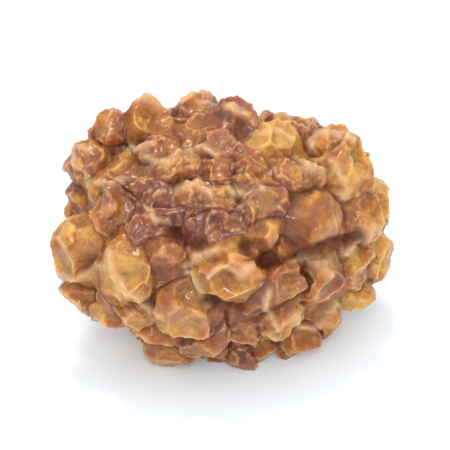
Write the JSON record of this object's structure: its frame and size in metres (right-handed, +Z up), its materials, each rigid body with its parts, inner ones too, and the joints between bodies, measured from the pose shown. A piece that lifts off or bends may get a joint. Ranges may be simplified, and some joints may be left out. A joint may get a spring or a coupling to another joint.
{
  "type": "dried white mulberry",
  "caption": "Dried white mulberry on its side: an oval cluster of shrunk, creased drupelets grown together, with the dry stub of its stalk at one end.",
  "frame": {"origin": "centre of the whole part's outline seen from above, on the surface that the fruit lies on", "axes": "+Z up; +X along the fruit, from its tip to the end with the stalk; +Y towards the side that the stalk leans to"},
  "size_m": [0.0176, 0.013, 0.0118],
  "materials": {
    "dried_flesh": "satin",
    "dry_stalk": "matte"
  },
  "bodies": {
    "root": {"fruit": "dried_flesh", "stem_stub": "dry_stalk"}
  },
  "joints": []
}
